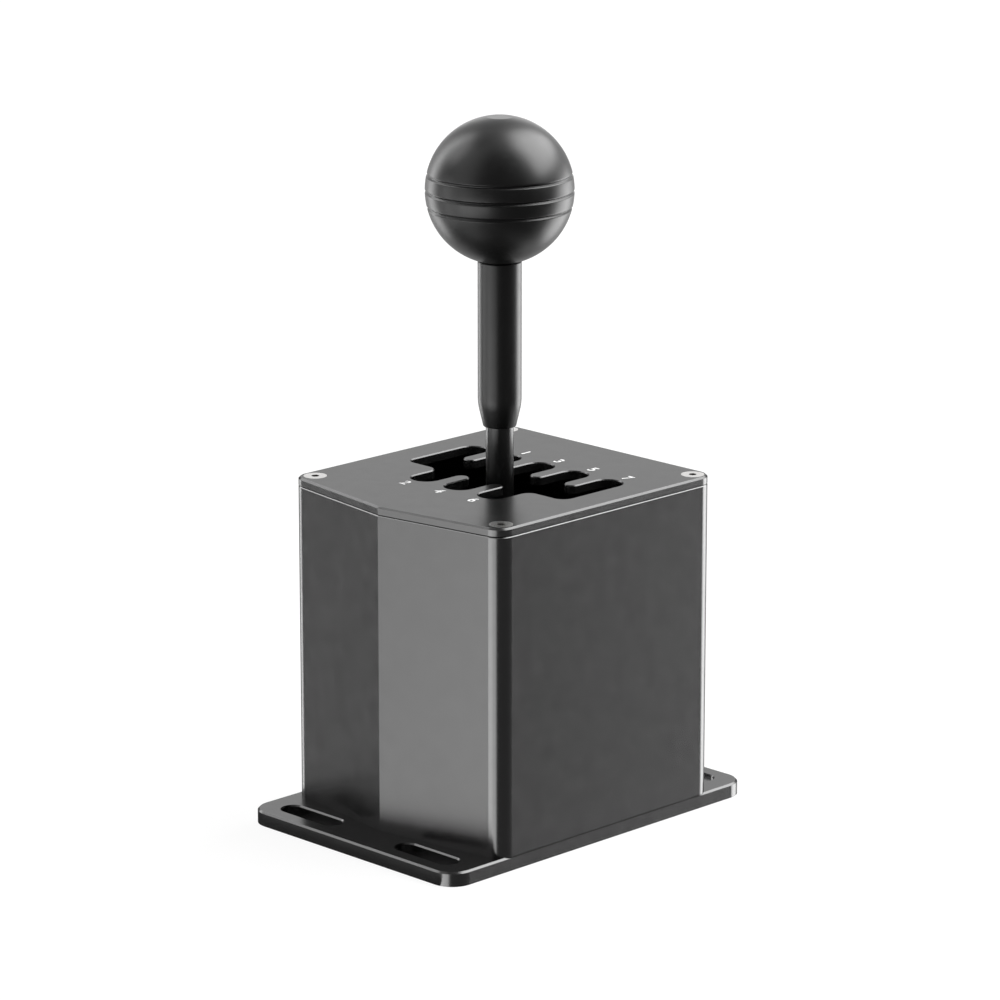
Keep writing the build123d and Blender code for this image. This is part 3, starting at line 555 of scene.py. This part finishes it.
def knob_profile():
    """Half circle from the neck to the top, less a raised-cosine dip of one depth at each groove.

    At polar angle a from the bottom the radius is R - d (1 + cos(2 pi (z - z0) / w)) / 2 within half
    a groove's width w of its height z0, and R elsewhere. The top is faced off a little below R.
    """
    neck_angle = math.asin(knob_neck_radius / knob_radius)
    angle = np.linspace(neck_angle, math.pi, knob_rows)
    height = -knob_radius * np.cos(angle)
    dip = np.zeros_like(angle)
    for step in (-1, 0, 1):
        offset = np.clip((height - groove_middle - step * groove_pitch) / (groove_width / 2), -1, 1)
        dip += groove_depth * (1 + np.cos(math.pi * offset)) / 2
    radii = (knob_radius - dip) * np.sin(angle)
    heights = knob_centre - (knob_radius - dip) * np.cos(angle)
    heights = np.minimum(heights, knob_centre + knob_radius - top_flat_drop)
    radii[-1] = 0
    foot = knob_low.z
    radii = np.concatenate([[0, knob_seat_radius, knob_neck_radius], radii])
    heights = np.concatenate([[foot, foot, foot + knob_seat_bevel], heights])
    return radii, heights


knob_black = new_finish("knob_black", grey(0.069), 1.0, 0.36)
vary_colour(knob_black, object_pattern(knob_black, 9 * mm, detail=3), grey(0.067), grey(0.071))
vary_roughness(knob_black, object_pattern(knob_black, 3 * mm), 0.345, 0.375)
raise_grain(knob_black, object_pattern(knob_black, 0.25 * mm), 0.006 * mm, 0.35)
knob_mesh = turned_mesh("ball_knob", *knob_profile())
knob = add_piece("ball_knob", knob_mesh, "lever", knob_black)
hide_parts("knob")
dress(turned_steel("insert_steel", 0.5, 0.25, 0.2 * mm, (1, 1, 1)), "knob_insert")

# Stage: floor and studio light
# A plain white floor, and a pale studio, darker on the right, with seven soft boxes round the
# shifter. Shiny faces see the studio in place of the floor, and a black card under the shifter
# and in front of it, seen only in reflections, paints shade into the near flange's side and slots.

floor_size = 6.0
floor_drop = 0.02 * mm
floor_colour = grey(0.12)
floor_glow_strength = 0.9
floor_mesh = bpy.data.meshes.new("floor")
floor_mesh.from_pydata(
    [(x * floor_size, y * floor_size, -floor_drop) for x, y in ((-1, -1), (1, -1), (1, 1), (-1, 1))],
    [], [(0, 1, 2, 3)])
floor = bpy.data.objects.new("floor", floor_mesh)
bpy.context.collection.objects.link(floor)
floor.visible_glossy = False
floor.visible_shadow = False
floor.visible_diffuse = False

floor_white = bpy.data.materials.new("floor_white")
floor_white.use_nodes = True
floor_nodes = floor_white.node_tree.nodes
floor_links = floor_white.node_tree.links
floor_nodes.clear()
floor_paint = floor_nodes.new("ShaderNodeBsdfDiffuse")
floor_paint.inputs["Color"].default_value = (*floor_colour, 1)
floor_glow = floor_nodes.new("ShaderNodeEmission")
floor_glow.inputs["Strength"].default_value = floor_glow_strength
floor_sum = floor_nodes.new("ShaderNodeAddShader")
floor_out = floor_nodes.new("ShaderNodeOutputMaterial")
floor_links.new(floor_paint.outputs[0], floor_sum.inputs[0])
floor_links.new(floor_glow.outputs[0], floor_sum.inputs[1])
floor_links.new(floor_sum.outputs[0], floor_out.inputs["Surface"])
floor_mesh.materials.append(floor_white)

# Painted shade in reflections: a black card seen by shiny faces only, never by the camera, which darkens
# the near flange's side and slots.
card_left, card_right = -68 * mm, 44 * mm
card_near, card_far = -87 * mm, 60 * mm
card_mesh = bpy.data.meshes.new("reflected_shade_card")
card_corners = [
    (card_left, card_near), (card_right, card_near), (card_right, card_far), (card_left, card_far)]
card_mesh.from_pydata([(x, y, -floor_drop / 2) for x, y in card_corners], [], [(0, 1, 2, 3)])
card = bpy.data.objects.new("reflected_shade_card", card_mesh)
bpy.context.collection.objects.link(card)
card.visible_camera = False
card.visible_diffuse = False
card.visible_transmission = False
card.visible_shadow = False
reflected_shade_black = new_finish("reflected_shade_black", grey(0.02), 0.0, 0.8)
card_mesh.materials.append(reflected_shade_black)

studio = bpy.data.worlds.new("studio")
bpy.context.scene.world = studio
studio.use_nodes = True
sky = studio.node_tree
sky.nodes.clear()


def sky_math(operation, *values):
    """Math node on numbers or on other nodes' outputs."""
    node = sky.nodes.new("ShaderNodeMath")
    node.operation = operation
    for place, value in zip(node.inputs, values):
        if isinstance(value, (int, float)):
            place.default_value = value
        else:
            sky.links.new(value, place)
    return node.outputs[0]


def soft_edge(distance, half_width, softness):
    """One inside a half width, falling smoothly to zero outside it."""
    node = sky.nodes.new("ShaderNodeMapRange")
    node.interpolation_type = "SMOOTHSTEP"
    node.inputs["From Min"].default_value = half_width + softness
    node.inputs["From Max"].default_value = half_width - softness
    sky.links.new(distance, node.inputs["Value"])
    return node.outputs["Result"]


sky_place = sky.nodes.new("ShaderNodeTexCoord")


def light_box(azimuth, elevation, half_width, half_height, softness, strength):
    """Soft box seen in one direction of the studio, in degrees.

    Azimuth 0 is towards the driver and 90 is to the right. Inside its half width and half height
    the box has its strength, and it falls smoothly to nothing over its softness either way.
    """
    turned = sky.nodes.new("ShaderNodeVectorRotate")
    turned.rotation_type = "Z_AXIS"
    turned.inputs["Angle"].default_value = -math.radians(azimuth)
    sky.links.new(sky_place.outputs["Generated"], turned.inputs["Vector"])
    split = sky.nodes.new("ShaderNodeSeparateXYZ")
    sky.links.new(turned.outputs[0], split.inputs[0])
    behind = sky_math("MULTIPLY", split.outputs["Y"], -1)
    across = sky_math("ABSOLUTE", sky_math("ARCTAN2", split.outputs["X"], behind))
    rise = sky_math("ARCSINE", split.outputs["Z"])
    above = sky_math("ABSOLUTE", sky_math("SUBTRACT", rise, math.radians(elevation)))
    wide = soft_edge(across, math.radians(half_width), math.radians(softness))
    tall = soft_edge(above, math.radians(half_height), math.radians(softness))
    return sky_math("MULTIPLY", sky_math("MULTIPLY", wide, tall), strength)


room_light = 0.633
dark_side = light_box(75.5, 5, 73.4, 70, 10.7, 0.86)
dark_gap = light_box(-59.6, 10.8, 20.6, 80.8, 6.8, 0.84)
soft_boxes = [
    light_box(2.1, -19.8, 25.9, 8.5, 4.4, 1.89),
    light_box(-45, -14, 8.4, 24.7, 3.8, 1.73),
    light_box(-58, 41.7, 10.5, 14.7, 5, 2.6),
    light_box(-84.7, 8.7, 8.5, 46.8, 3.2, 4.4),
    light_box(166, -20.4, 18.6, 24.6, 3.2, 4.6),
    light_box(152.5, 47.4, 41, 26.4, 3, 5.5),
    light_box(-135, 13, 14, 14, 6, 1.1),
]
total = sky_math("MULTIPLY", sky_math("SUBTRACT", 1, dark_side), sky_math("SUBTRACT", 1, dark_gap))
total = sky_math("MULTIPLY", total, room_light)
for box in soft_boxes:
    total = sky_math("ADD", total, box)

# The camera itself sees plain white behind the shifter.
sky_ray = sky.nodes.new("ShaderNodeLightPath")
sky_level = sky.nodes.new("ShaderNodeMix")
sky.links.new(sky_ray.outputs["Is Camera Ray"], sky_level.inputs["Factor"])
sky.links.new(total, sky_level.inputs["A"])
sky_level.inputs["B"].default_value = 1.0
sky_light = sky.nodes.new("ShaderNodeBackground")
sky_light.inputs["Color"].default_value = (1, 1, 1, 1)
sky.links.new(sky_level.outputs["Result"], sky_light.inputs["Strength"])
sky_out = sky.nodes.new("ShaderNodeOutputWorld")
sky.links.new(sky_light.outputs[0], sky_out.inputs["Surface"])

bpy.context.scene.view_settings.view_transform = "Standard"
